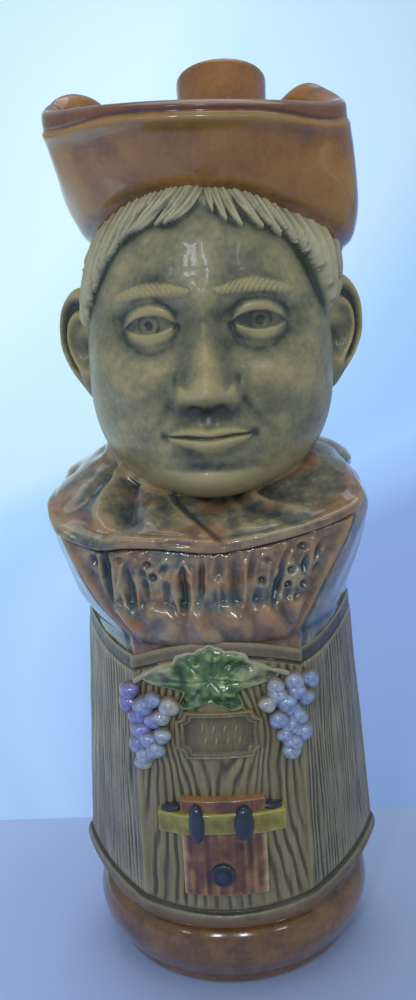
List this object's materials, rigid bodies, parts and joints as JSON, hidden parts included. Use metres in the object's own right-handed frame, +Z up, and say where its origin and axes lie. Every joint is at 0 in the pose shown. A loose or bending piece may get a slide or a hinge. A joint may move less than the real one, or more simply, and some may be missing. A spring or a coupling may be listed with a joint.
{
  "type": "figural decanter",
  "caption": "Glazed stoneware decanter: a bust of a man in a cocked hat on a grooved wooden vat with grapes, a vine leaf and a little door, open at a round pouring neck.",
  "frame": {"origin": "middle of the flat underside of the foot, on the surface that the decanter stands on", "axes": "+Z up, -Y out of the face and the little door, +X to the right of someone facing the front"},
  "size_m": [0.1038, 0.1044, 0.2869],
  "materials": {
    "glazed_stoneware": "glossy coloured glazes on stoneware, opaque: olive head, brown hat, collar and foot, greyer wood, green leaf, lilac grapes"
  },
  "bodies": {
    "root": {"decanter": "glazed_stoneware"}
  },
  "joints": []
}
